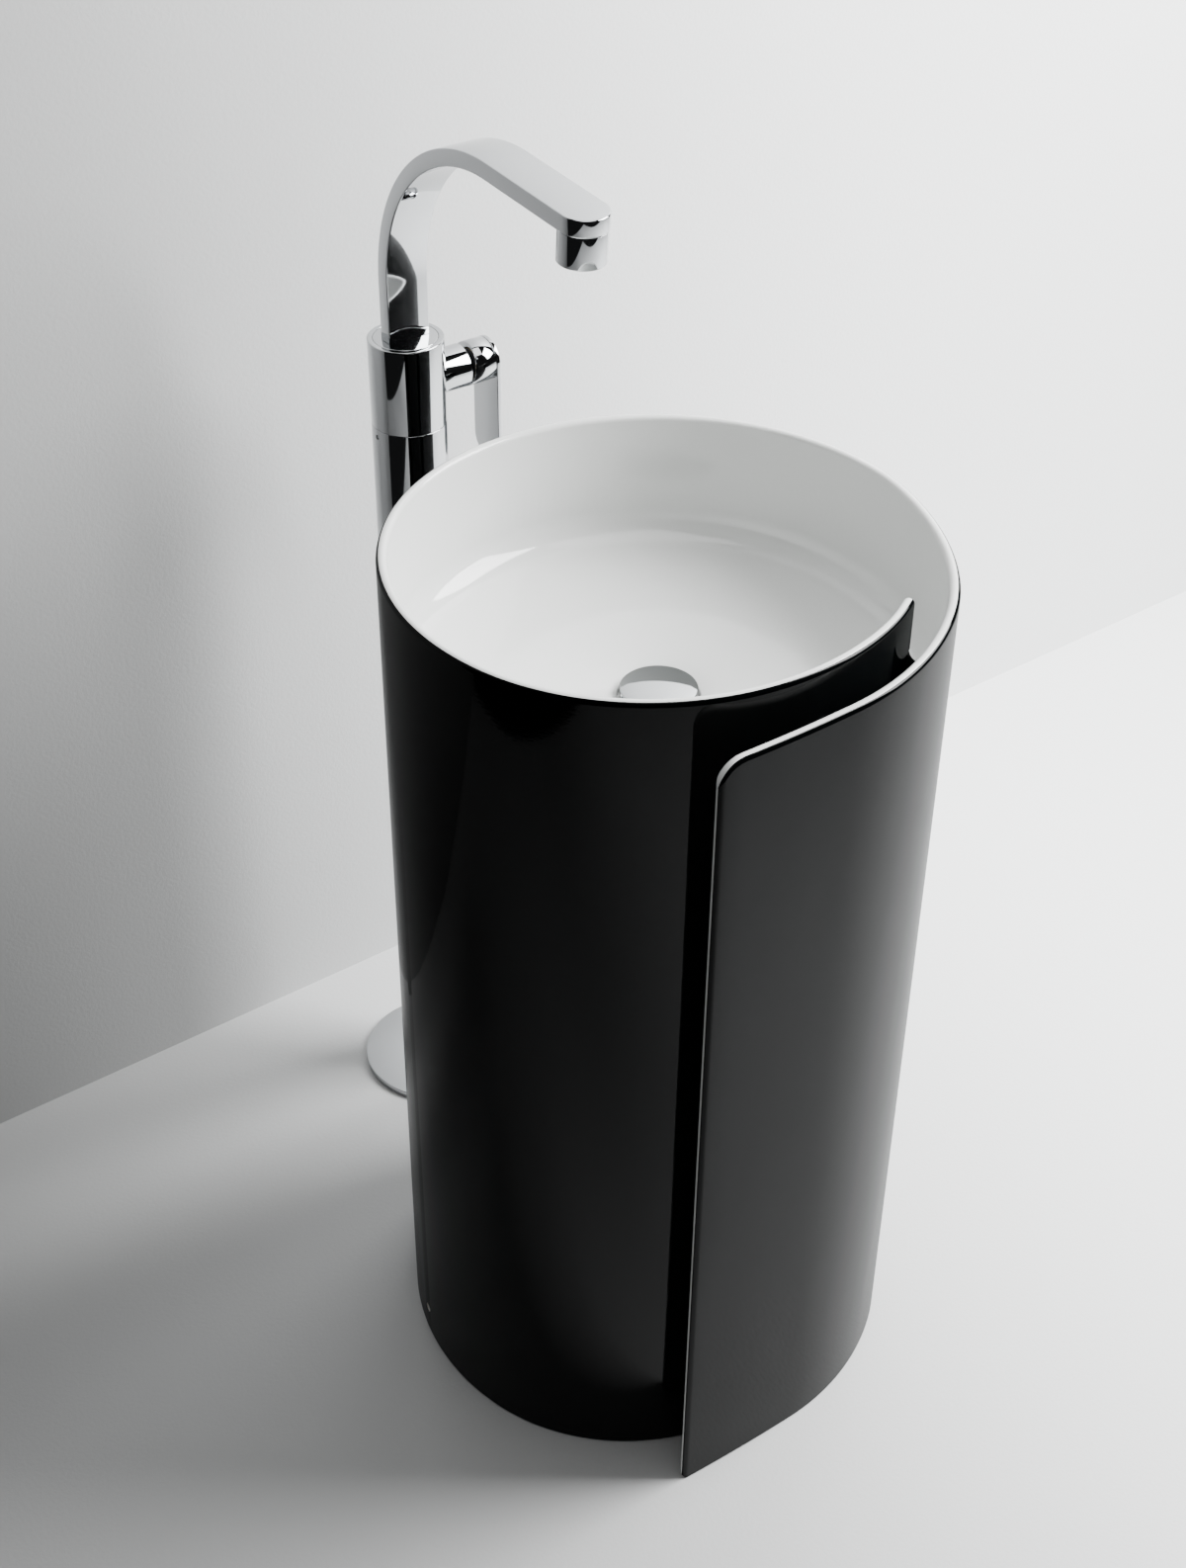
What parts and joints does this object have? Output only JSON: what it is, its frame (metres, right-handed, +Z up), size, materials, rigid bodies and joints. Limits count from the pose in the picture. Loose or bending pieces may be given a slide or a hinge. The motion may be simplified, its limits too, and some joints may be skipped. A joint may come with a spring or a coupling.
{
  "type": "pedestal sink",
  "caption": "Floor-standing round washbasin rolled from one ceramic sheet, black outside and white inside, with a floor-standing lever mixer.",
  "frame": {"origin": "on the floor, under the middle of the bounding box", "axes": "+Z up, -Y the front where the flap is, +Y the mixer and the wall behind it, +X to the right"},
  "size_m": [0.458, 0.7014, 1.1015],
  "materials": {
    "glazed_ceramic": "glossy black glaze outside, glossy white glaze inside and on the rim",
    "chrome": "polished chrome plate",
    "satin_steel": "satin stainless steel",
    "brass": "machined brass",
    "rubber": "moulded rubber",
    "white_plastic": "moulded white plastic",
    "black_plastic": "moulded black plastic",
    "braided_hose": "rubber hose in a steel braid"
  },
  "bodies": {
    "root": {"basin_body": "glazed_ceramic", "waste_body": "chrome", "tailpiece": "chrome", "tailpiece_nut": "chrome", "flange_cover": "chrome", "column_tube": "chrome", "mixer_housing": "chrome", "handle_stub": "chrome", "floor_bracket_left": "satin_steel", "floor_bracket_right": "satin_steel", "side_screw_left": "satin_steel", "side_screw_right": "satin_steel", "anchor_plate": "satin_steel", "column_grub_screw": "satin_steel", "column_set_screw": "satin_steel", "mixer_core": "brass", "cartridge_nut": "brass", "hot_hose_nut": "brass", "cold_hose_nut": "brass", "waste_locknut": "brass", "waste_upper_seal": "rubber", "waste_lower_seal": "rubber", "screw_sleeve_left": "white_plastic", "screw_sleeve_right": "white_plastic", "plug_cartridge": "white_plastic", "trap_body": "white_plastic", "trap_cup": "white_plastic", "trap_inlet_nut": "white_plastic", "trap_outlet_nut": "white_plastic", "outlet_elbow": "white_plastic", "outlet_pipe": "white_plastic", "floor_rosette": "white_plastic", "cartridge_body": "white_plastic", "hot_hose": "braided_hose", "cold_hose": "braided_hose"},
    "spout_arm": {"spout": "chrome", "swivel_base": "chrome", "swivel_oring_lower": "rubber", "swivel_oring_upper": "rubber", "outlet_nipple": "brass", "aerator_housing": "chrome", "aerator_insert": "black_plastic", "aerator_seal": "rubber"},
    "cartridge_turner": {"cartridge_carrier": "black_plastic"},
    "lever": {"lever_stem": "satin_steel", "lever_hub": "chrome", "lever_blade": "chrome", "blade_screw": "satin_steel", "index_button": "satin_steel", "hub_grub_screw": "satin_steel"},
    "plug": {"waste_cap": "chrome", "cap_seal": "rubber", "plug_stem": "satin_steel"}
  },
  "joints": [
    {"name": "spout_swivel", "type": "hinge", "parent": "root", "child": "spout_arm", "pos_m": [0, 0.26975, 0.8825], "axis": [0, 0, 1], "range_deg": [-60, 60]},
    {"name": "lever_temperature", "type": "hinge", "parent": "root", "child": "cartridge_turner", "pos_m": [0.058, 0.26975, 0.838], "axis": [1, 0, 0], "range_deg": [-45, 45]},
    {"name": "lever_flow", "type": "hinge", "parent": "cartridge_turner", "child": "lever", "pos_m": [0.058, 0.26975, 0.838], "axis": [0, -1, 0], "range_deg": [0, 17]},
    {"name": "plug_travel", "type": "slide", "parent": "root", "child": "plug", "axis": [0, 0, 1], "range_m": [-0.008, 0]}
  ]
}
